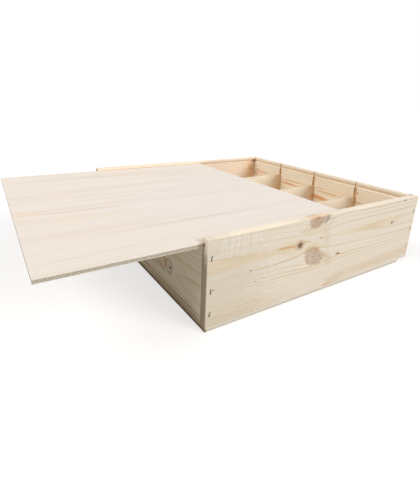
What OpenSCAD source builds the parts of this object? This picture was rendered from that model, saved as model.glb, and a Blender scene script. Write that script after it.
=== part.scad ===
// Wine box of pine boards with a plywood lid that slides in grooves.
// Four bottles lie side by side along X, kept apart by three plywood dividers.
// The lid is drawn out of the open end, which faces -X, and the front board faces -Y.
// The origin is the middle of the box's underside, and +Z is up.

/* [Box] */
// Length of the box, along the bottles
box_l = 350; // [330:1:420]
// Width of the box, across the bottles
box_w = 358; // [350:1:400]
// Height of the side boards
side_h = 93; // [90:0.5:120]
// Thickness of the side boards and the end boards
board_t = 9; // [8:0.5:12]
// How much lower than the side boards the closed end board stands
end_drop = 0.25; // [0:0.25:2]

/* [Bottom] */
// Thickness of the plywood bottom
bottom_t = 4; // [3:0.5:6]
// Length, along X, of the corner that has broken off the bottom
chip_l = 22; // [4:1:26]
// Width, along Y, of the same corner
chip_w = 12; // [4:1:24]

/* [Lid] */
// Thickness of the plywood lid
lid_t = 4; // [3:0.5:5]
// How far the lid stands out of the open end, as shown
lid_out = 141.5; // [0:0.5:190]
// How far inside the open end the lid's outer edge lies when the box is closed
lid_inset = 0; // [0:0.5:5]
// Height of the wood above the groove that the lid slides in
lip_h = 4; // [3:0.25:6]
// Depth of that groove in the side boards
groove_d = 4.5; // [3:0.25:5]
// Depth of the same groove in the closed end board, which takes the closed lid's inner edge
end_groove_d = 1.25; // [1:0.25:4]
// Gap between the lid and the groove's upper and lower faces
lid_play = 0.3; // [0.2:0.05:0.5]
// Gap between the lid's edges and the groove's inner face
lid_edge_gap = 0.5; // [0.3:0.1:1]

/* [Dividers] */
// Thickness of the plywood dividers
divider_t = 4; // [3:0.5:6]
// Width of each of the three front lanes, the back lane taking what is left
lane_w = 83; // [78:0.5:84]
// Height of the divider nearest the front
divider_front_h = 70; // [50:0.5:76]
// Height of the divider in the middle
divider_middle_h = 68.5; // [50:0.5:76]
// Height of the divider nearest the back
divider_back_h = 72.5; // [50:0.5:76]
// Depth of the slots in the end boards that hold the dividers
slot_d = 3; // [1.5:0.25:5]
// Gap between a divider and each side of its slot
slot_play = 0.6; // [0.1:0.05:0.8]
// Gap between a divider's end and the bottom of its slot
slot_end_gap = 0.3; // [0.1:0.05:0.5]

/* [Staples] */
// Length of a staple's crown
crown_l = 6; // [5:0.25:8]
// Length of a staple's legs
leg_l = 22; // [14:1:25]
// Width of the flat staple wire
wire_w = 1.3; // [0.8:0.1:1.6]
// Thickness of the flat staple wire
wire_t = 1; // [0.6:0.1:1.2]
// Depth that a staple's crown lies below the wood
staple_sink = 0.2; // [0:0.05:0.4]
// Gap between a staple and the wood around it
staple_gap = 0.02; // [0.02:0.01:0.05]
// Distance from the end of a side board to the middle of its corner staples
corner_inset = 5; // [3:0.5:6]
// Height above the floor of the lowest staple in a corner at the open end
open_low_z = 19; // [15:0.5:28]
// Height above the floor of the middle staple in a corner at the open end
open_middle_z = 43.5; // [38:0.5:56]
// Depth of the highest staple at the open end below the floor of the lid's groove
open_high_drop = 10.9; // [6:0.1:15]
// Height above the floor of the lowest staple in a corner at the closed end
closed_low_z = 23; // [15:0.5:28]
// Height above the floor of the middle staple in a corner at the closed end
closed_middle_z = 49.5; // [38:0.5:56]
// Depth of the highest staple at the closed end below the floor of the lid's groove
closed_high_drop = 12.4; // [6:0.1:15]
// Lean of the three staples in a corner, from the lowest to the highest
staple_lean = [14, 2, 5]; // [-20:1:20]
// Number of staples through the bottom into each side board
side_staples = 4; // [2:1:6]
// Distance from the box's ends to the outermost of those staples
side_staple_margin = 32; // [30:1:60]
// Distance from the closed end to the staple across the front corner's top edge
top_inset = 3; // [2.5:0.5:4]

/* [Hidden] */
// Overrun of a cut past the face that it starts from
over = 1;
inner_l = box_l - 2 * board_t;
inner_w = box_w - 2 * board_t;
side_top = bottom_t + side_h;
groove_h = lid_t + 2 * lid_play;
groove_top = side_top - lip_h;
groove_z = groove_top - groove_h;
open_staple_z = [open_low_z, open_middle_z, groove_z - open_high_drop];
closed_staple_z = [closed_low_z, closed_middle_z, groove_z - closed_high_drop];
lid_l = box_l - lid_inset - board_t + end_groove_d - lid_edge_gap;
lid_w = inner_w + 2 * (groove_d - lid_edge_gap);
divider_l = inner_l + 2 * (slot_d - slot_end_gap);
divider_heights = [divider_front_h, divider_middle_h, divider_back_h];
divider_count = len(divider_heights);
lane_pitch = lane_w + divider_t;
// Middle of each divider along Y, from the front
divider_y = [for (i = [1:divider_count]) i * lane_pitch - divider_t / 2 - inner_w / 2];
// Edges of the four lanes along Y, and their middles
lane_edge = [
    -inner_w / 2,
    for (y = divider_y) each [y - divider_t / 2, y + divider_t / 2],
    inner_w / 2
];
lane_y = [for (i = [0:divider_count]) (lane_edge[2 * i] + lane_edge[2 * i + 1]) / 2];
side_staple_reach = box_l / 2 - side_staple_margin;
side_staple_x = [
    for (i = [0:side_staples - 1]) side_staple_reach * (2 * i / (side_staples - 1) - 1)
];
SIDES = ["front", "back"];
ENDS = ["open", "closed"];
corner_staples = [
    for (s = SIDES, e = ENDS, i = [0:len(staple_lean) - 1]) [str("corner_staple_", s, "_", e, "_", i + 1), s, e, i]
];
side_bottom_staples = [
    for (s = SIDES, i = [0:side_staples - 1]) [str("bottom_staple_", s, "_", i + 1), s, i]
];
end_bottom_staples = [
    for (e = ENDS, i = [0:divider_count]) [str("bottom_staple_", e, "_", i + 1), e, i]
];

PINE = [0.90, 0.82, 0.68];
PINE_END = [0.88, 0.77, 0.60];
PLYWOOD = [0.93, 0.88, 0.81];
STEEL = [0.36, 0.39, 0.35];

// Sign of the Y direction in which a side board lies
function side_sign(side) = side == "front" ? -1 : 1;
// Sign of the X direction in which an end board lies
function end_sign(end) = end == "open" ? -1 : 1;

// A staple with its crown along X just under z = 0 and its legs down along -Z.
// grow widens it all round, which gives the pocket that it fills in the wood.
module staple_form(grow = 0) {
    rotate([90, 0, 0])
        translate([0, 0, -wire_w / 2 - grow])
            linear_extrude(wire_w + 2 * grow)
                difference() {
                    translate([-crown_l / 2 - grow, -leg_l - grow])
                        square([crown_l + 2 * grow, leg_l + 2 * grow]);
                    translate([-crown_l / 2 + wire_t + grow, -leg_l - over])
                        square([crown_l - 2 * wire_t - 2 * grow, leg_l - wire_t - grow + over]);
                }
}

// The pocket of a staple that is driven staple_sink below the wood's face
module staple_pocket() {
    staple_form(staple_gap);
    translate([-crown_l / 2 - staple_gap, -wire_w / 2 - staple_gap, -wire_t])
        cube([crown_l + 2 * staple_gap, wire_w + 2 * staple_gap, wire_t + staple_sink + over]);
}

// Puts its children where a corner staple goes, the legs pointing into the corner
module at_corner(side, end, i) {
    z = end == "open" ? open_staple_z[i] : closed_staple_z[i];
    x = end_sign(end) * (box_l / 2 - corner_inset);
    y = side_sign(side) * (box_w / 2 - staple_sink);
    translate([x, y, z])
        rotate([0, 0, side == "front" ? 0 : 180])
            rotate([90, 0, 0])
                rotate([0, 0, 90 - staple_lean[i]])
                    children();
}

// Puts its children where a staple goes up through the bottom into a side board
module at_side_bottom(side, i) {
    translate([side_staple_x[i], side_sign(side) * (box_w - board_t) / 2, staple_sink])
        rotate([180, 0, 0])
            children();
}

// Puts its children where a staple goes up through the bottom into an end board
module at_end_bottom(end, i) {
    translate([end_sign(end) * (box_l - board_t) / 2, lane_y[i], staple_sink])
        rotate([180, 0, 90])
            children();
}

// Puts its children across the top of the joint at the front corner of the closed end
module at_top_joint() {
    translate([box_l / 2 - top_inset, board_t - box_w / 2, side_top + wire_t])
        rotate([0, 0, 90])
            children();
}

// A pine side board with the lid's groove along its inner face
module side_board(side) {
    s = side_sign(side);
    color(PINE)
        difference() {
            translate([-box_l / 2, s < 0 ? -box_w / 2 : box_w / 2 - board_t, bottom_t])
                cube([box_l, board_t, side_h]);
            translate([-box_l / 2 - over, s < 0 ? -lid_groove_y() : inner_w / 2 - over, groove_z])
                cube([box_l + 2 * over, groove_d + over, groove_h]);
            for (c = corner_staples)
                if (c[1] == side)
                    at_corner(side, c[2], c[3])
                        staple_pocket();
            for (i = [0:side_staples - 1])
                at_side_bottom(side, i)
                    staple_pocket();
            if (side == "front")
                at_top_joint()
                    staple_form(staple_gap);
        }
}

// Distance from the middle of the box to the inner face of a side board's groove
function lid_groove_y() = inner_w / 2 + groove_d;

// The slots for the dividers, cut into an end board's inner face from the bottom up
module divider_slots(end) {
    slot_w = divider_t + 2 * slot_play;
    for (y = divider_y)
        translate([end == "open" ? -inner_l / 2 - slot_d : inner_l / 2 - over, y - slot_w / 2, bottom_t - over])
            cube([slot_d + over, slot_w, side_h + 2 * over]);
}

// A pine end board of a given height between the side boards, with its slots and pockets
module end_board(end, height) {
    difference() {
        translate([end == "open" ? -box_l / 2 : inner_l / 2, -inner_w / 2, bottom_t])
            cube([board_t, inner_w, height]);
        divider_slots(end);
        for (c = corner_staples)
            if (c[2] == end)
                at_corner(c[1], end, c[3])
                    staple_pocket();
        for (i = [0:divider_count])
            at_end_bottom(end, i)
                staple_pocket();
    }
}

// The end board that the lid passes over, level with the floor of the lid's groove
module end_board_open() {
    color(PINE_END)
        end_board("open", groove_z - bottom_t);
}

// The end board that the closed lid's inner edge slides into
module end_board_closed() {
    color(PINE_END)
        difference() {
            end_board("closed", side_h - end_drop);
            translate([inner_l / 2 - over, -inner_w / 2 - over, groove_z])
                cube([end_groove_d + over, inner_w + 2 * over, groove_h]);
            at_top_joint()
                staple_form(staple_gap);
        }
}

// The plywood bottom, under all four boards, with its front corner at the closed end broken off
module bottom_panel() {
    color(PLYWOOD)
        difference() {
            linear_extrude(bottom_t)
                polygon([
                    [-box_l / 2, -box_w / 2],
                    [box_l / 2 - chip_l, -box_w / 2],
                    [box_l / 2, chip_w - box_w / 2],
                    [box_l / 2, box_w / 2],
                    [-box_l / 2, box_w / 2]
                ]);
            for (s = side_bottom_staples)
                at_side_bottom(s[1], s[2])
                    staple_pocket();
            for (s = end_bottom_staples)
                at_end_bottom(s[1], s[2])
                    staple_pocket();
        }
}

// The plywood lid, drawn out of the open end
module lid() {
    color(PLYWOOD)
        translate([-box_l / 2 - lid_out, -lid_w / 2, groove_z + lid_play])
            cube([lid_l, lid_w, lid_t]);
}

// A plywood divider that stands on the bottom with its ends in the slots
module divider(i) {
    color(PLYWOOD)
        translate([-divider_l / 2, divider_y[i] - divider_t / 2, bottom_t])
            cube([divider_l, divider_t, divider_heights[i]]);
}

// A steel staple
module staple() {
    color(STEEL)
        staple_form();
}

side_board("front");  // side_board_front
side_board("back");  // side_board_back
end_board_open();
end_board_closed();
bottom_panel();
lid();
for (i = [0:divider_count - 1])
    divider(i);
for (s = corner_staples)
    at_corner(s[1], s[2], s[3]) staple();
for (s = side_bottom_staples)
    at_side_bottom(s[1], s[2]) staple();
for (s = end_bottom_staples)
    at_end_bottom(s[1], s[2]) staple();
at_top_joint() staple();  // top_staple
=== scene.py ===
import math

import bmesh
import bpy
from mathutils import Matrix, Vector


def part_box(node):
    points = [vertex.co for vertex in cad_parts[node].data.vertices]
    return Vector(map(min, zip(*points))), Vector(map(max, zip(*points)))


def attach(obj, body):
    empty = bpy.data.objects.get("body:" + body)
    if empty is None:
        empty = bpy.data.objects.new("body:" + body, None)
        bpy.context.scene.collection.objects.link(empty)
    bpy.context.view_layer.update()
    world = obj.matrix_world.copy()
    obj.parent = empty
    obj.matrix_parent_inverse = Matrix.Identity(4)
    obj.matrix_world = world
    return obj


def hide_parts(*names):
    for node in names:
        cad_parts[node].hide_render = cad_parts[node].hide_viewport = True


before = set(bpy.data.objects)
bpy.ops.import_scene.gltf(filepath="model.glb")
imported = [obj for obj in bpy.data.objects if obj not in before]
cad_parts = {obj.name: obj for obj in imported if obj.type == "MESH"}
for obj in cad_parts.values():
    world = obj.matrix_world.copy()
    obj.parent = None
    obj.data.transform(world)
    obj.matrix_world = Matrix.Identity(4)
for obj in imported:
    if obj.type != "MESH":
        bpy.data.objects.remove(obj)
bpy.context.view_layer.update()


# The view: a box on a white table, seen from its front corner at the open end, from a little above.
# The camera is the one that puts the box's corners where the photograph has them.
def add(tree, kind, inputs=(), **settings):
    """Adds a node, with inputs by name or in order: each is a value, a socket or a node.
    A kind that doesn't name its family, such as Math, is a shader node."""
    node = tree.nodes.new(kind if "Node" in kind else "ShaderNode" + kind)
    for name, value in settings.items():
        setattr(node, name, value)
    pairs = inputs.items() if isinstance(inputs, dict) else enumerate(inputs)
    for key, value in pairs:
        if isinstance(value, bpy.types.Node):
            value = value.outputs[0]
        if isinstance(value, bpy.types.NodeSocket):
            tree.links.new(value, node.inputs[key])
        else:
            node.inputs[key].default_value = value
    return node


def colour(code):
    """Turns an sRGB hex value into the linear colour that a shader socket takes."""
    parts = [int(code[i:i + 2], 16) / 255 for i in (0, 2, 4)]
    linear = [c / 12.92 if c <= 0.04045 else ((c + 0.055) / 1.055) ** 2.4 for c in parts]
    return (*linear, 1.0)


def material(name):
    """A new material with an empty node tree and its output node."""
    new = bpy.data.materials.new(name)
    new.use_nodes = True
    new.node_tree.nodes.clear()
    return new, new.node_tree, new.node_tree.nodes.new("ShaderNodeOutputMaterial")


IMAGE_HEIGHT_PX = 490
VIEW_FOCAL_PX = 351.6
VIEW_CENTRE_Y_PX = 210.0
VIEW_PLACE = (-0.3322, -0.4215, 0.2176)
VIEW_HEADING, VIEW_PITCH, VIEW_ROLL = (math.radians(a) for a in (33.097, -17.697, 2.235))

camera = bpy.data.objects.new("camera", bpy.data.cameras.new("camera"))
bpy.context.collection.objects.link(camera)
camera.data.sensor_width = 36.0
camera.data.lens = VIEW_FOCAL_PX / IMAGE_HEIGHT_PX * camera.data.sensor_width
camera.data.shift_y = (VIEW_CENTRE_Y_PX - IMAGE_HEIGHT_PX / 2) / IMAGE_HEIGHT_PX
camera.data.clip_start = 0.01
level_right = Vector((math.cos(VIEW_HEADING), -math.sin(VIEW_HEADING), 0))
ahead = Vector((
    math.sin(VIEW_HEADING) * math.cos(VIEW_PITCH),
    math.cos(VIEW_HEADING) * math.cos(VIEW_PITCH),
    math.sin(VIEW_PITCH),
))
view_right = math.cos(VIEW_ROLL) * level_right + math.sin(VIEW_ROLL) * level_right.cross(ahead)
view_turn = Matrix((view_right, view_right.cross(ahead), -ahead)).transposed()
camera.matrix_world = Matrix.Translation(VIEW_PLACE) @ view_turn.to_4x4()
bpy.context.scene.camera = camera

bpy.context.scene.view_settings.view_transform = "Standard"

# White walls all round: the camera and shiny surfaces see them white, and the light they give is soft.
world = bpy.data.worlds.new("white_studio")
bpy.context.scene.world = world
world.use_nodes = True
sky = world.node_tree
sky.nodes.clear()
rays = add(sky, "LightPath")
seen = rays.outputs["Is Camera Ray"]
for ray in ("Is Glossy Ray", "Is Transmission Ray"):
    seen = add(sky, "Math", [seen, rays.outputs[ray]], operation="MAXIMUM")
soft_light = add(sky, "Background", {"Color": colour("F9FAFD"), "Strength": 0.39})
white_wall = add(sky, "Background", {"Color": colour("FFFFFF"), "Strength": 1.0})
studio = add(sky, "MixShader", [seen, soft_light, white_wall])
sky.links.new(studio.outputs[0], add(sky, "OutputWorld").inputs["Surface"])

# Two wide soft lamps: the main one from the left and a little behind, and a fill from the front.
for name, strength, spread, tint, towards in (
    ("main_light", 1.6, 36, "FFF8F0", (-0.9, 0.15, 0.9)),
    ("front_fill", 2.0, 30, "FFFAF2", (0.6, -1.0, 0.6)),
):
    lamp = bpy.data.objects.new(name, bpy.data.lights.new(name, "SUN"))
    bpy.context.collection.objects.link(lamp)
    lamp.data.energy = strength
    lamp.data.angle = math.radians(spread)
    lamp.data.color = colour(tint)[:3]
    lamp.rotation_euler = Vector(towards).to_track_quat("Z", "Y").to_euler()

# The table: matt white paper, which gives the eye an even white that only the box's shadow greys.
# Its light on the box is weaker, so that the undersides stay darker than the tops.
TABLE_REACH = 30.0
TABLE_TOP = -0.0004
floor_mesh = bpy.data.meshes.new("table")
floor_mesh.from_pydata(
    [(x * TABLE_REACH, y * TABLE_REACH, TABLE_TOP) for x, y in ((-1, -1), (1, -1), (1, 1), (-1, 1))],
    [], [(0, 1, 2, 3)],
)
table = bpy.data.objects.new("table", floor_mesh)
bpy.context.collection.objects.link(table)
paper, tree, out = material("matt_white_paper")
rays = add(tree, "LightPath")
shown = add(tree, "AddShader", [
    add(tree, "Emission", {"Color": colour("FFFFFF"), "Strength": 0.66}),
    add(tree, "BsdfDiffuse", {"Color": colour("AAAAAA")}),
])
bounced = add(tree, "BsdfDiffuse", {"Color": colour("B8B8B8")})
sheet = add(tree, "MixShader", [rays.outputs["Is Camera Ray"], bounced, shown])
tree.links.new(sheet.outputs[0], out.inputs["Surface"])
floor_mesh.materials.append(paper)


# The side boards: spruce planed to 9 mm, full length, with a groove sawn along the inside for the lid.
# The grain runs along the box. The front one has three knots close together, and the grain parts
# round them; at the open end its sawn end shows the growth rings.
MM = 1000.0  # millimetres in a metre
MERGE = 1e-6
FLAT, SHARP = math.radians(0.5), math.radians(40)
SHORTEST_EASED = 0.012


def eased(node, name, radius):
    """A copy of a CAD solid, its triangles merged, with its long edges rounded off."""
    piece = bpy.data.objects.new(name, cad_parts[node].data.copy())
    bpy.context.collection.objects.link(piece)
    shape = bmesh.new()
    shape.from_mesh(piece.data)
    bmesh.ops.remove_doubles(shape, verts=shape.verts, dist=MERGE)
    bmesh.ops.dissolve_limit(shape, angle_limit=FLAT, verts=shape.verts, edges=shape.edges)
    corners = [
        e for e in shape.edges
        if e.is_manifold and e.calc_length() > SHORTEST_EASED and e.calc_face_angle() > SHARP
    ]
    bmesh.ops.bevel(
        shape, geom=corners, offset=radius, segments=2, profile=0.6, affect="EDGES",
        clamp_overlap=False,
    )
    bmesh.ops.triangulate(shape, faces=[f for f in shape.faces if len(f.verts) > 4])
    shape.to_mesh(piece.data)
    shape.free()
    piece.data.materials.clear()
    return piece


def grain_space(tree, along, across, through):
    """Places in millimetres: along the grain, across the face, and through the thickness."""
    place = add(tree, "TexCoord").outputs["Object"]
    parts = add(tree, "SeparateXYZ", [place])
    turned = add(tree, "CombineXYZ", [parts.outputs[axis] for axis in (along, across, through)])
    return add(tree, "VectorMath", {0: turned, "Scale": MM}, operation="SCALE").outputs[0]


def figure(tree, place, size, seed, detail=2.0):
    """A noise whose blots have the given size in millimetres along, across and through."""
    spot = add(
        tree, "VectorMath",
        [place, tuple(1 / s for s in size), (seed, 1.7 * seed, 0.6 * seed)],
        operation="MULTIPLY_ADD",
    )
    return add(tree, "TexNoise", {"Vector": spot, "Scale": 1.0, "Detail": detail})


def oval(tree, place, centre, radii):
    """Distance from a knot's axis in units of its radii: 1 on its rim."""
    offset = add(tree, "VectorMath", [place, (*centre, 0)], operation="SUBTRACT")
    shrink = (1 / radii[0], 1 / radii[1], 0)
    scaled = add(tree, "VectorMath", [offset, shrink], operation="MULTIPLY")
    return add(tree, "VectorMath", [scaled], operation="LENGTH").outputs["Value"]


def swell(tree, place, centre, spread, push):
    """Parts the grain round a knot: push is the share of it that leaves the middle."""
    near = oval(tree, place, centre, spread)
    square = add(tree, "Math", [near, near], operation="MULTIPLY")
    fall = add(tree, "Math", [square, -1.0], operation="MULTIPLY")
    fall = add(tree, "Math", [fall], operation="EXPONENT")
    offset = add(tree, "VectorMath", [place, (*centre, 0)], operation="SUBTRACT")
    pull = add(tree, "VectorMath", [offset, (0, -push, 0)], operation="MULTIPLY")
    pulled = add(tree, "VectorMath", {0: pull, "Scale": fall}, operation="SCALE")
    return add(tree, "VectorMath", [place, pulled], operation="ADD").outputs[0]


def ramp(tree, value, low, high):
    """0 below low, 1 above high, smooth between; the other way round if low is above high."""
    rising = low < high
    return add(
        tree, "MapRange",
        {"Value": value, "From Min": min(low, high), "From Max": max(low, high),
         "To Min": 0.0 if rising else 1.0, "To Max": 1.0 if rising else 0.0},
        interpolation_type="SMOOTHSTEP",
    ).outputs[0]


def times(tree, *values):
    """The product of numbers and sockets."""
    product = values[0]
    for value in values[1:]:
        product = add(tree, "Math", [product, value], operation="MULTIPLY").outputs[0]
    return product


def stain(tree, wood, over, *amounts):
    """Lays another colour, a hex value or a socket, over the wood by the product of the amounts."""
    over = colour(over) if isinstance(over, str) else over
    return add(tree, "MixRGB", [times(tree, *amounts), wood, over]).outputs[0]


def ragged(tree, place, size, seed):
    """How far the outlines of spots stray, in units of their radii."""
    stray = 0.9
    rough = figure(tree, place, size, seed, 3.0)
    return add(tree, "Math", [rough, stray, -stray / 2], operation="MULTIPLY_ADD").outputs[0]


def spot_reach(tree, place, wobble, centre, radii, turn=0.0):
    """Distance from a spot's middle in units of its radii, with a ragged outline. With three numbers
    the spot has a depth too, and with two it goes right through the board."""
    centre, spread = (*centre, 0)[:3], (*(1 / r for r in radii), 0)[:3]
    offset = add(tree, "VectorMath", [place, centre], operation="SUBTRACT")
    turned = add(
        tree, "VectorRotate", {"Vector": offset, "Angle": math.radians(-turn)},
        rotation_type="Z_AXIS",
    )
    scaled = add(tree, "VectorMath", [turned, spread], operation="MULTIPLY")
    reach = add(tree, "VectorMath", [scaled], operation="LENGTH").outputs["Value"]
    return add(tree, "Math", [wobble, 1.0, reach], operation="MULTIPLY_ADD").outputs[0]


SPOT_CORE, SPOT_RIM = 0.35, 1.05


def spotted(tree, wood, place, wobble, spots):
    """Soft-edged spots, each with its centre, radii, hex value, amount in the middle and turn."""
    for centre, radii, code, amount, *turn in spots:
        reach = spot_reach(tree, place, wobble, centre, radii, *turn)
        wood = stain(tree, wood, code, ramp(tree, reach, SPOT_RIM, SPOT_CORE), amount)
    return wood


# Planed and left unfinished, spruce is matt and pale, with honey-coloured lines of late wood that
# each stop short at the winter's edge.
WOOD_IOR, WOOD_SHINE = 1.5, 0.35
PLANED_ROUGHNESS = 0.68
LATE_WOOD_RISE, WINTER_EDGE = 4.2, 0.93
BRANCH_REACH = 30.0
PLANER_STEP = 3.4


def spruce(name, axes, pith, ring, start, bulge=(0, 0), uneven=0.0, seed=1.0, knots=(), tints=(),
           marks=(), early="EEE5D9", honey="ECDBBA", late="C9A26A", warm="EADDC3", contrast=1.15,
           end="B4A389", end_line="8C775C", chatter=None, cut=None, lit_end_patch=None):
    """Planed spruce, with its growth rings ring mm apart round a pith that lies off the board."""
    new, tree, out = material(name)
    place = grain_space(tree, *axes)
    wobble = ragged(tree, place, (6, 4, 9), seed + 11)
    bent = place
    for size, blots in ((3.2, (150, 40, 60)), (1.0, (36, 12, 20)), (0.35, (9, 5, 9))):
        blots = figure(tree, place, blots, seed + size, 1.0).outputs["Color"]
        centred = add(tree, "VectorMath", [blots, (0.5, 0.5, 0.5)], operation="SUBTRACT")
        sway = (0, 2 * size, 0.35 * size)
        shift = add(tree, "VectorMath", [centred, sway], operation="MULTIPLY")
        bent = add(tree, "VectorMath", [bent, shift], operation="ADD").outputs[0]
    for knot in knots:
        bent = swell(tree, bent, knot["at"], knot["spread"], knot["push"])

    # Growth rings: circles round the pith, which bulge a little where the branches leave the trunk.
    from_pith = add(tree, "VectorMath", [bent, (0, *pith)], operation="SUBTRACT")
    flat = add(tree, "VectorMath", [from_pith, (0, 1, 1)], operation="MULTIPLY")
    radius = add(tree, "VectorMath", [flat], operation="LENGTH").outputs["Value"]
    along = add(tree, "SeparateXYZ", [bent]).outputs[0]
    away = add(tree, "Math", [along, -bulge[0]], operation="ADD")
    away = add(tree, "Math", [away, away, BRANCH_REACH ** 2], operation="MULTIPLY_ADD")
    away = add(tree, "Math", [away], operation="SQRT")
    grown = add(tree, "Math", [away, -bulge[1], radius], operation="MULTIPLY_ADD")
    year = add(tree, "Math", [grown, 1 / ring, start], operation="MULTIPLY_ADD")
    thick = add(tree, "TexNoise", {"W": year, "Scale": 0.37, "Detail": 1.0}, noise_dimensions="1D")
    year = add(tree, "Math", [thick, uneven, year], operation="MULTIPLY_ADD")
    part = add(tree, "Math", [year], operation="FRACT").outputs[0]
    rise = add(tree, "Math", [part, LATE_WOOD_RISE], operation="POWER").outputs[0]
    line = times(tree, rise, ramp(tree, part, 1.0, WINTER_EDGE))
    which = add(tree, "Math", [year], operation="FLOOR")
    strength = add(tree, "TexWhiteNoise", {"W": which}, noise_dimensions="1D").outputs["Value"]
    strength = add(tree, "MapRange", {"Value": strength, "To Min": 0.5, "To Max": 1.0})
    patch = add(tree, "MapRange", {
        "Value": figure(tree, place, (90, 16, 30), seed + 9, 1.0),
        "From Min": 0.3, "From Max": 0.65, "To Min": 0.5,
    })
    line_amount = times(tree, line, strength, patch, contrast)

    blush = figure(tree, bent, (190, 14, 25), seed + 5, 2.0)
    wood = stain(tree, colour(early), warm, ramp(tree, blush, 0.42, 0.72), 0.5)
    wood = spotted(tree, wood, place, wobble, tints)
    wood = stain(tree, wood, honey, ramp(tree, line_amount, 0.0, 0.45), 0.75)
    wood = stain(tree, wood, late, ramp(tree, line_amount, 0.3, 1.05))
    # The fibres are a tenth of this across, and are drawn as coarse as they need to show.
    fibre = figure(tree, bent, (16, 0.6, 0.6), seed + 7, 3.0)
    wood = stain(tree, wood, "C2A67C", ramp(tree, fibre, 0.5, 0.78), 0.18)
    gleam = figure(tree, bent, (30, 2.2, 2.2), seed + 8, 2.0)
    wood = stain(tree, wood, "F4EEE2", ramp(tree, gleam, 0.5, 0.8), 0.4)

    # The planer's marks: pale irregular ripples across the grain.
    if chatter:
        ripple = figure(tree, place, (PLANER_STEP, 26, 26), seed + 15, 2.0)
        zone = add(tree, "Math", [oval(tree, place, *chatter), -1.0], operation="MULTIPLY")
        stripe = times(tree, ramp(tree, ripple, 0.44, 0.62), ramp(tree, zone, -1.0, -0.3))
        wood = stain(tree, wood, "F3EEE6", stripe, 0.42)

    # Knots: branches cut across, grey-brown, with faint rings of their own and a darker rim.
    for knot in knots:
        reach = spot_reach(tree, place, wobble, knot["middle"], knot["radii"], knot["turn"])
        tone = figure(tree, place, (5, 3.5, 9), seed + 17, 2.0)
        rings = add(tree, "Math", [reach, 19.0], operation="MULTIPLY")
        rings = add(tree, "Math", [rings], operation="SINE")
        shade = add(tree, "Math", [rings, 0.14, tone], operation="MULTIPLY_ADD")
        core = stain(tree, colour(knot["light"]), knot["dark"], ramp(tree, shade, 0.22, 0.85))
        core = stain(tree, core, knot["pip"], ramp(tree, reach, knot["heart"], 0.03), 0.8)
        wood = stain(tree, wood, core, ramp(tree, reach, 1.04, 0.86), knot["solid"])
        wood = stain(
            tree, wood, knot["edge"],
            ramp(tree, reach, 0.78, 0.97), ramp(tree, reach, 1.3, 1.0), knot["rim"],
        )
    wood = spotted(tree, wood, place, wobble, marks)

    # The floors of the sawn slots are rough and are made darker than the planed faces: partly the sawn
    # wood's own colour, partly painted shade in the narrow slots.
    if cut:
        level, top = cut
        here = add(tree, "SeparateXYZ", [place])
        off = add(tree, "Math", [here.outputs[2], -level], operation="ADD")
        off = add(tree, "Math", [off], operation="ABSOLUTE")
        below = ramp(tree, here.outputs[1], top, top - 0.3)
        wood = stain(tree, wood, "D2A970", ramp(tree, off, 0.8, 0.3), below, 0.8)

    # End grain drinks more dust and light than the faces and looks darker, except in one given patch,
    # which stays pale as a painted highlight where light gets past the lid.
    facing = add(tree, "SeparateXYZ", [add(tree, "TexCoord").outputs["Normal"]]).outputs[axes[0]]
    sawn = ramp(tree, add(tree, "Math", [facing], operation="ABSOLUTE"), 0.75, 0.95)
    if lit_end_patch:
        sawn = times(tree, sawn, ramp(tree, spot_reach(tree, place, wobble, *lit_end_patch), SPOT_CORE, SPOT_RIM))
    end_wood = stain(tree, colour(end), end_line, line, 0.6)
    pores = figure(tree, place, (1.2, 0.8, 0.8), seed + 13, 3.0)
    end_wood = stain(tree, end_wood, end_line, ramp(tree, pores, 0.45, 0.75), 0.3)
    wood = stain(tree, wood, end_wood, sawn)

    hair = add(tree, "Math", [line_amount, 0.5, fibre], operation="MULTIPLY_ADD")
    bump = add(tree, "Bump", {"Strength": 0.35, "Distance": 0.0003, "Height": hair})
    shader = add(tree, "BsdfPrincipled", {
        "Base Color": wood, "Roughness": PLANED_ROUGHNESS, "IOR": WOOD_IOR,
        "Specular IOR Level": WOOD_SHINE, "Normal": bump,
    })
    tree.links.new(shader.outputs[0], out.inputs["Surface"])
    return new


def finish_piece(piece, finish, body, slot, *nodes):
    """Gives a piece its material and its body, and hides the solids that it stands for. The slot is not
    used.
    """
    piece.data.materials.append(finish)
    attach(piece, body)
    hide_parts(*nodes)


SIDE_EASE, THIN_EASE = 0.0007, 0.0003
ALONG_X = ("X", "Z", "Y")
big_knot = {
    "at": (-31, 50), "spread": (30, 15), "push": 0.93, "middle": (-30.5, 49.5), "radii": (14.6, 9.3),
    "turn": -22, "light": "D3C3B2", "dark": "B9A18E", "pip": "AD8368", "edge": "BE9C76",
    "solid": 0.92, "rim": 0.55, "heart": 0.2,
}
small_knot = {
    "at": (-56, 69), "spread": (15, 8), "push": 0.8, "middle": (-55.2, 68.4), "radii": (3.9, 3.3),
    "turn": 0, "light": "9C8170", "dark": "75594B", "pip": "5E463A", "edge": "B08E72",
    "solid": 0.92, "rim": 0.6, "heart": 0.9,
}
edge_knot = {
    "at": (-28, 97), "spread": (30, 14), "push": 0.85, "middle": (-32.8, 93), "radii": (10.5, 8),
    "turn": 10, "light": "CFB6A1", "dark": "B0937E", "pip": "B6937E", "edge": "BBA189",
    "solid": 0.85, "rim": 0.35, "heart": 0.3,
}
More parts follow.
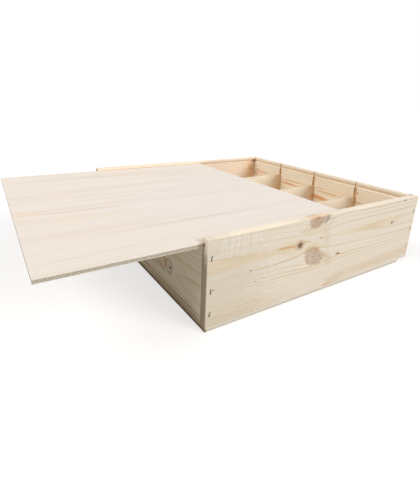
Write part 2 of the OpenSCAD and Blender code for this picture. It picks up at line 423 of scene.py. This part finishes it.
front_wood = spruce(
    "planed_spruce_front_board", ALONG_X, pith=(68, -134), ring=2.45, start=-18.37,
    bulge=(-31, 0.00427), seed=2.0, knots=(big_knot, edge_knot, small_knot),
    honey="E1CFAE", late="C6A57C", contrast=1.3,
    tints=(
        # A broad greyer, darker patch at the open end: partly the wood's own tone, partly painted shade
        # where the light falls off.
        ((-176, 40), (100, 90), "D4CAB7", 0.55, 0),
        ((-150, 8), (90, 16), "D0C0A8", 0.4, 0),
        ((-68, 66), (26, 12), "E4D4B4", 0.6, -8),
        ((-55.2, 68.2), (9, 7.4), "BF9E80", 0.8, 0),
        ((-135, 67), (70, 7), "E4D5B8", 0.5, 0),
        ((-34, 60), (17, 9), "DECBA4", 0.7, -10),
        ((-6, 42), (9, 15), "D6C7AB", 0.55, 35),
        ((-12, 70), (8, 22), "E0D2BC", 0.5, 20),
        ((112, 14.5), (130, 9), "E0CBB0", 0.6, 0),
        ((75, 71), (95, 8.5), "EBDDBC", 0.6, 1),
        ((12, 8), (26, 11), "DDC8AE", 0.6, 4),
        ((-30, 82), (30, 8), "E4D5B6", 0.5, 0),
    ),
    marks=(
        ((-20.5, 93, -179), (16, 7.5, 3), "BFA791", 0.75, 18),
        ((-15, 92, -179), (3.2, 7.5, 3), "A39384", 0.5, -22),
        ((-6, 89, -179), (9, 1.2, 3), "B9AB98", 0.45, 40),
        ((-30, 97.4, -175), (24, 1.7, 6), "F1D7B4", 0.9, 0),
        # A pale patch on the sawn end at the top of the near corner: a painted highlight where the light
        # reaches above the lid.
        ((-177, 97, -178), (5, 26, 16), "F1DFD2", 0.8),
        # Pale strips along the top edge: painted highlights.
        ((-112, 97.3), (70, 1.9), "FFF3DE", 0.75, 0),
        ((88, 97.3), (98, 1.7), "FFF3E0", 0.4, 0),
        ((-28.5, 58.8), (5, 1.8), "CFA377", 0.65, -35),
        ((-27, 52), (13, 1.5, 400), "C8AE93", 0.3, -24),
        ((-40, 44), (1.4, 7), "AD8F70", 0.5, 35),
        ((-76, 69.2), (22, 1.5), "D6A264", 0.75, -3),
        ((-46, 70.5), (8, 1.1), "CFA877", 0.6, -4),
        ((-22.5, 70.6), (5, 1.5), "D2A368", 0.8, -18),
        ((-12, 47), (9, 2.2), "C9B196", 0.55, -32),
        ((12.5, 44), (5.2, 1.4), "A26A42", 1.0, -6),
        ((119.3, 66.6), (3.8, 2.2), "9A5A34", 1.0, 0),
        ((124, 66.9), (9, 0.9), "C59478", 0.7, 2),
        ((142, 95.0), (5.5, 1.3), "A98055", 0.9, 0),
        ((-122.5, 54.2), (2.4, 1.2), "AE9073", 0.85, -20),
        ((-116, 39.8), (3.2, 0.8), "A98765", 0.85, -8),
        ((-31, 96), (5, 1.4), "B96F3F", 0.7, -4),
        ((-47, 86), (12, 1.2), "C9B7A4", 0.45, 28),
        ((-42, 84), (8, 1.0), "B8A08C", 0.4, 40),
        ((-167.8, 44.2), (2.8, 0.7), "94654A", 0.9, -4),
        ((-171.3, 18.3), (2.0, 0.7), "7A6350", 0.8, 20),
        ((-2, 6.5), (13, 1.0), "D6A973", 0.6, 5),
    ),
    # On the near corner's sawn end, a strip tapering down from the top stays pale: a painted highlight
    # where light gets past the lid's edge.
    chatter=((-136, 88), (52, 17)), lit_end_patch=((-176, 100, -180), (14, 32, 18)),
)
back_wood = spruce(
    "planed_spruce_back_board", ALONG_X, pith=(40, 138), ring=2.3, start=0.0,
    bulge=(-60, 0.006), uneven=1.2, seed=21.0,
    knots=(
        dict(small_knot, at=(60, 60), middle=(60, 60)),
        dict(big_knot, at=(-80, 30), middle=(-80, 30), radii=(9, 7)),
    ),
    early="FAEBDA", warm="F8E0C4", honey="F5D9B3", late="DCAA74",
    # The orange tint and the dark spot in the groove near the closed end are painted shade in the box's
    # far corner.
    tints=(((175, 50, 170), (50, 80, 9), "F0B062", 0.6, 0),),
    marks=(((164, 92, 170), (7, 3.5, 6), "A8703C", 0.55, 0),),
)
side_front = eased("side_board_front", "front_board", SIDE_EASE)
finish_piece(side_front, front_wood, "box", "side_pine", "side_board_front")
side_back = eased("side_board_back", "back_board", SIDE_EASE)
finish_piece(side_back, back_wood, "box", "side_pine", "side_board_back")


# The end boards: the same planed spruce, standing between the side boards with the grain across the box.
# Both have three sawn slots inside for the dividers. The open one ends under the lid's groove, and the
# closed one has the groove sawn across its inside.
ALONG_Y = ("Y", "Z", "X")
open_knot = {
    "at": (-105, 37), "spread": (22, 14), "push": 0.85, "middle": (-101, 37), "radii": (7.5, 8),
    "turn": 0, "light": "E6DBC6", "dark": "D6C6AA", "pip": "D6C6AA", "edge": "B8946E",
    "solid": 0.92, "rim": 0.75, "heart": 0.1,
}
open_wood = spruce(
    "planed_spruce_open_end_board", ALONG_Y, pith=(36, -115), ring=3.0, start=-19.6,
    bulge=(-105, 0.036), seed=31.0, knots=(open_knot,), early="F0E4CB", warm="EBD8B4",
    honey="DFC396", late="B98F5A", contrast=1.0, cut=(-169, 100),
    marks=(
        ((-104.3, 36.4), (3.2, 2.2), "4E3024", 1.0, -8),
        ((-91, 40), (2.4, 11), "B47B50", 0.75, -12),
        ((-80, 30), (16, 3), "C49A6C", 0.6, 14),
        # Darker towards the bottom edge: painted shade from the floor.
        ((-140, 2), (150, 14), "937A52", 0.4, 0),
        ((-80, 12), (200, 1.2), "A6794E", 0.7, 0),
        ((-80, 6.5), (200, 1.0), "A6794E", 0.7, 0),
    ),
)
closed_wood = spruce(
    "planed_spruce_closed_end_board", ALONG_Y, pith=(30, 215), ring=3.0, start=0.0,
    bulge=(40, 0.004), uneven=1.0, seed=44.0, early="FDF1DC", honey="F6DDB4", warm="F9E3C2",
    late="DDA564", contrast=1.0,
    end="E6C294", end_line="CFA06C", cut=(169, 88.2),
    marks=(
        ((0, 97.1, 172), (400, 1.0, 12), "DFD3C0", 0.6, 0),
        # A thin darker line along the groove's back wall: painted shade under the lip.
        ((0, 91.0, 168), (400, 1.2, 6), "DDB98C", 0.6, 0),
        ((52, 68.3, 166), (44, 1.9, 9), "E3AF74", 0.75, 0),
        ((62, 62, 166), (32, 2.8, 9), "E2A567", 0.85, 0),
        ((-32, 65.5, 166), (38, 2.0, 9), "E6B57E", 0.75, 0),
        ((-14, 53.6, 166), (27, 4.6, 9), "E09F5C", 0.9, 2),
        ((-14, 70.4, 166), (20, 1.5, 9), "E9C08F", 0.6, 0),
        ((-94, 64.8, 166), (10, 1.7, 9), "CC915A", 0.8, 0),
        ((-89.5, 80), (1.4, 2.2), "8A6547", 0.9, 0),
        ((145, 72, 166), (30, 1.9, 9), "E6B67C", 0.75, 7),
        ((154, 69, 166), (22, 1.9, 9), "E3AE72", 0.75, 7),
        ((164, 64, 166), (10, 2.2, 9), "DFA562", 0.75, 14),
    ),
)
end_open = eased("end_board_open", "open_end_board", THIN_EASE)
finish_piece(end_open, open_wood, "box", "end_pine", "end_board_open")
end_closed = eased("end_board_closed", "closed_end_board", THIN_EASE)
finish_piece(end_closed, closed_wood, "box", "end_pine", "end_board_closed")


# The lid: 4 mm three-ply with rotary-cut poplar faces, with its grain along the box. Sanding leaves it
# matt and almost white, with faint pinkish lines, and its edges show the darker core.
SANDED_ROUGHNESS = 0.62


def plywood(name, axes, low, thickness, seed, face, line, core, veneer, marks=()):
    """Sanded plywood: a faint long figure on the faces, and its plies on the edges."""
    new, tree, out = material(name)
    place = grain_space(tree, *axes)
    wave = figure(tree, place, (260, 46, 46), seed, 2.0).outputs["Color"]
    centred = add(tree, "VectorMath", [wave, (0.5, 0.5, 0.5)], operation="SUBTRACT")
    shift = add(tree, "VectorMath", [centred, (0, 26, 0)], operation="MULTIPLY")
    bent = add(tree, "VectorMath", [place, shift], operation="ADD").outputs[0]
    broad = figure(tree, bent, (420, 22, 30), seed + 2, 2.0)
    narrow = figure(tree, bent, (300, 4.5, 9), seed + 4, 2.0)
    fibre = figure(tree, bent, (22, 0.6, 0.6), seed + 6, 2.0)
    wood = stain(tree, colour(face), line, ramp(tree, broad, 0.45, 0.75), 0.5)
    wood = stain(tree, wood, line, ramp(tree, narrow, 0.56, 0.74), 0.5)
    wood = stain(tree, wood, "D9C3AC", ramp(tree, fibre, 0.5, 0.8), 0.12)

    # The plies: a core between two thin veneers, by the share of the thickness above the lower face.
    depth = add(tree, "SeparateXYZ", [place]).outputs[2]
    level = add(tree, "Math", [depth, 1 / thickness, -low / thickness], operation="MULTIPLY_ADD")
    speck = figure(tree, place, (1.6, 1.6, 0.8), seed + 8, 3.0)
    dark_core = stain(tree, colour(core), "CFC7B9", ramp(tree, speck, 0.35, 0.65))
    edge = stain(
        tree, colour(veneer), dark_core, ramp(tree, level, 0.1, 0.2), ramp(tree, level, 0.9, 0.8)
    )
    facing = add(tree, "SeparateXYZ", [add(tree, "TexCoord").outputs["Normal"]]).outputs[axes[2]]
    flat = ramp(tree, add(tree, "Math", [facing], operation="ABSOLUTE"), 0.5, 0.8)
    wood = stain(tree, edge, wood, flat)
    wood = spotted(tree, wood, place, ragged(tree, place, (14, 3, 3), seed + 10), marks)
    bump = add(tree, "Bump", {"Strength": 0.25, "Distance": 0.0002, "Height": fibre})
    shader = add(tree, "BsdfPrincipled", {
        "Base Color": wood, "Roughness": SANDED_ROUGHNESS, "IOR": WOOD_IOR,
        "Specular IOR Level": WOOD_SHINE, "Normal": bump,
    })
    tree.links.new(shader.outputs[0], out.inputs["Surface"])
    return new


lid_low, lid_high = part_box("lid")
lid_wood = plywood(
    "sanded_poplar_plywood_lid", ("X", "Y", "Z"), lid_low.z * MM, (lid_high.z - lid_low.z) * MM,
    seed=3.0, face="EFE7DE", line="E4D5C8", core="A69D8C", veneer="E8E1D2",
    marks=(
        # A brown patch on the lid's edge where it enters the groove at the near corner: painted shade.
        ((-178, -174, 90.7), (6, 3, 3.5), "8A5E3C", 0.6, 0),
        ((-60, -50), (190, 130), "EBE5E4", 0.7, 0),
        ((0, 60), (130, 150), "E7E1DA", 0.6, 0),
        ((-252, -30), (74, 4.5), "E0CBBA", 0.6, -2),
        ((-100, -27), (160, 2.4), "E4D3C4", 0.6, 0),
        ((-135, -111), (110, 2.8), "DFCCBC", 0.65, -0.5),
        ((-20, -106), (90, 2.0), "E6D4C4", 0.6, 1),
        ((-190, -86), (100, 2.4), "E8D8C9", 0.6, 1),
        ((-125, 9), (22, 4), "E0CDBD", 0.6, 0),
        ((-190, 6), (120, 3.4), "E8D9CB", 0.6, 1),
        ((-310, -22), (26, 11), "F0D9C5", 0.5, -10),
        ((-240, -60), (90, 5), "F0E2CC", 0.5, 0),
        ((-170, 128), (90, 9), "E6DACE", 0.5, 1),
        ((-60, 108), (60, 10), "E2D7CB", 0.5, 0),
    ),
)
lid = eased("lid", "sliding_lid", THIN_EASE)
finish_piece(lid, lid_wood, "lid", "lid_plywood", "lid")


# The bottom: a 4 mm plywood panel stapled under all four boards. Its front corner at the closed end
# broke off, and its edge at the open end is painted dark brown as shade from the floor.
bottom_low, bottom_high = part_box("bottom_panel")
bottom_wood = plywood(
    "sanded_poplar_plywood_bottom", ("X", "Y", "Z"), bottom_low.z * MM,
    (bottom_high.z - bottom_low.z) * MM, seed=13.0, face="F0E4CF", line="E6CFAE", core="DAD4C8",
    veneer="F4F0E8",
    # The edge at the open end painted dark brown: painted shade where it meets the floor.
    marks=(((-175.4, 0, 1.4), (3, 500, 6), "7F6640", 0.95, 0),),
)
bottom = eased("bottom_panel", "bottom_panel_plywood", THIN_EASE)
finish_piece(bottom, bottom_wood, "box", "bottom_plywood", "bottom_panel")


# The dividers: three 4 mm plywood strips, slid into the slots from above and standing on the bottom.
# Towards the closed end they are darker and warmer: painted shade deep in the box.
for number in (1, 2, 3):
    strip_low, strip_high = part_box("divider_%d" % number)
    strip_wood = plywood(
        "sanded_poplar_plywood_divider_%d" % number, ("X", "Z", "Y"), strip_low.y * MM,
        (strip_high.y - strip_low.y) * MM, seed=20.0 + 5 * number,
        face="F8EDDC", line="F1DCBC", core="DFCBA8", veneer="F3E8D3",
        # Darker and warmer towards the closed end: painted shade.
        marks=(((188, 30), (50, 120), "EFAD5A", 0.62),),
    )
    strip = eased("divider_%d" % number, "divider_strip_%d" % number, THIN_EASE)
    finish_piece(strip, strip_wood, "box", "divider_plywood", "divider_%d" % number)


# The staples: flat steel wire 1.3 by 1 mm, bent to a U with 6 mm crowns and driven in by air. Three hold
# each corner, a few degrees askew, sixteen hold the bottom, and one lies across the top of a joint.
# The wire has dulled to a mottled grey-green; at the closed end it is rusty, and the top one is dusty.
STEEL_METALLIC, STEEL_ROUGHNESS = 0.55, 0.48
DUST_LEVELS_MM = (96.6, 97.4)

staple_steel, tree, out = material("aged_steel_staple_wire")
place = grain_space(tree, "X", "Y", "Z")
here = add(tree, "SeparateXYZ", [place])
mottle = figure(tree, place, (1.5, 1.5, 1.5), 5.0)
steel = stain(tree, colour("76886F"), "465240", ramp(tree, mottle, 0.4, 0.7))
rusty = figure(tree, place, (90, 60, 40), 8.0)
rusty = add(tree, "Math", [here.outputs[0], 0.004, rusty], operation="MULTIPLY_ADD")
steel = stain(tree, steel, "A0876A", ramp(tree, rusty, 0.75, 1.1), 0.8)
steel = stain(tree, steel, "C9C8B4", ramp(tree, here.outputs[2], *DUST_LEVELS_MM), 0.8)
shader = add(tree, "BsdfPrincipled", {
    "Base Color": steel, "Metallic": STEEL_METALLIC, "Roughness": STEEL_ROUGHNESS,
})
tree.links.new(shader.outputs[0], out.inputs["Surface"])

nest = bpy.data.node_groups.new("staples", "GeometryNodeTree")
nest.interface.new_socket("Geometry", in_out="INPUT", socket_type="NodeSocketGeometry")
sizes = {
    "Crown": 0.006, "Leg": 0.022, "Wire width": 0.0013, "Wire thickness": 0.001,
    "Bend radius": 0.0009, "Wire corner": 0.0002,
}
sockets = {}
for label, value in sizes.items():
    item = nest.interface.new_socket(label, in_out="INPUT", socket_type="NodeSocketFloat")
    item.default_value = value
    sockets[label] = item.identifier
nest.interface.new_socket("Geometry", in_out="OUTPUT", socket_type="NodeSocketGeometry")
given = nest.nodes.new("NodeGroupInput")
result = nest.nodes.new("NodeGroupOutput")

half_wire = add(nest, "Math", [given.outputs["Wire thickness"], 0.5], operation="MULTIPLY")
reach = add(nest, "Math", [given.outputs["Crown"], 0.5], operation="MULTIPLY")
reach = add(nest, "Math", [reach, half_wire], operation="SUBTRACT")
bends = {}
for point, side, drop in (
    ("Point 1", -1.0, given.outputs["Leg"]), ("Point 2", -1.0, half_wire),
    ("Point 3", 1.0, half_wire), ("Point 4", 1.0, given.outputs["Leg"]),
):
    sideways = add(nest, "Math", [reach, side], operation="MULTIPLY")
    down = add(nest, "Math", [drop, -1.0], operation="MULTIPLY")
    bends[point] = add(nest, "CombineXYZ", [sideways, 0.0, down])
outline = add(nest, "GeometryNodeCurvePrimitiveQuadrilateral", bends, mode="POINTS")
opened = add(nest, "GeometryNodeSetSplineCyclic", {"Geometry": outline, "Cyclic": False})
bowed = add(nest, "GeometryNodeFilletCurve", {
    0: opened, "Count": 3, "Radius": given.outputs["Bend radius"],
}, mode="POLY")
steady = add(nest, "GeometryNodeSetCurveNormal", {
    "Curve": bowed, "Normal": (0.0, 1.0, 0.0),
}, mode="FREE")
section = add(nest, "GeometryNodeCurvePrimitiveQuadrilateral", {
    "Width": given.outputs["Wire width"], "Height": given.outputs["Wire thickness"],
}, mode="RECTANGLE")
rounded = add(nest, "GeometryNodeFilletCurve", {
    0: section, "Count": 1, "Radius": given.outputs["Wire corner"],
}, mode="POLY")
wire = add(nest, "GeometryNodeCurveToMesh", {
    "Curve": steady, "Profile Curve": rounded, "Fill Caps": True,
})
turn = add(nest, "GeometryNodeInputNamedAttribute", ["turn"], data_type="FLOAT_VECTOR")
askew = add(nest, "FunctionNodeEulerToRotation", [turn])
driven = add(nest, "GeometryNodeInstanceOnPoints", {
    "Points": given.outputs["Geometry"], "Instance": wire, "Rotation": askew,
})
real = add(nest, "GeometryNodeRealizeInstances", [driven])
painted = add(nest, "GeometryNodeSetMaterial", {"Geometry": real, "Material": staple_steel})
nest.links.new(painted.outputs[0], result.inputs[0])

# Each lies with its crown in the wood's face. A corner staple's lean in degrees goes by its number.
LEANS = {"1": 14, "2": 2, "3": 5}
UP, ALONG, OVER = Vector((0, 0, 1)), Vector((1, 0, 0)), Vector((0, 1, 0))
names, spots, turns = [], [], []
for name in sorted(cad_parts):
    if "staple" not in name:
        continue
    low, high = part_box(name)
    middle = (low + high) / 2
    if name.startswith("corner"):
        outward = -OVER if middle.y < 0 else OVER
        lean = math.radians(LEANS[name[-1]])
        crown = math.cos(lean) * UP + math.sin(lean) * UP.cross(outward)
        spot = Vector((middle.x, low.y if middle.y < 0 else high.y, middle.z))
    elif name.startswith("bottom"):
        outward = -UP
        crown = ALONG if high.x - low.x > high.y - low.y else OVER
        spot = Vector((middle.x, middle.y, low.z))
    else:
        outward, crown = UP, OVER
        spot = Vector((middle.x, middle.y, high.z))
    names.append(name)
    spots.append(spot)
    turns.append(Matrix((crown, outward.cross(crown), outward)).transposed().to_euler("XYZ"))
points = bpy.data.meshes.new("staple_places")
points.from_pydata(spots, [], [])
held = points.attributes.new("turn", "FLOAT_VECTOR", "POINT")
for index, turned in enumerate(turns):
    held.data[index].vector = turned
staple_seed = bpy.data.objects.new("staple_places", points)
bpy.context.collection.objects.link(staple_seed)
maker = staple_seed.modifiers.new("staples", "NODES")
maker.node_group = nest
for label, value in sizes.items():
    maker[sockets[label]] = value
depsgraph = bpy.context.evaluated_depsgraph_get()
made = bpy.data.meshes.new_from_object(staple_seed.evaluated_get(depsgraph))
staples = bpy.data.objects.new("steel_staples", made)
bpy.context.collection.objects.link(staples)
bpy.data.objects.remove(staple_seed)
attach(staples, "box")
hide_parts(*names)
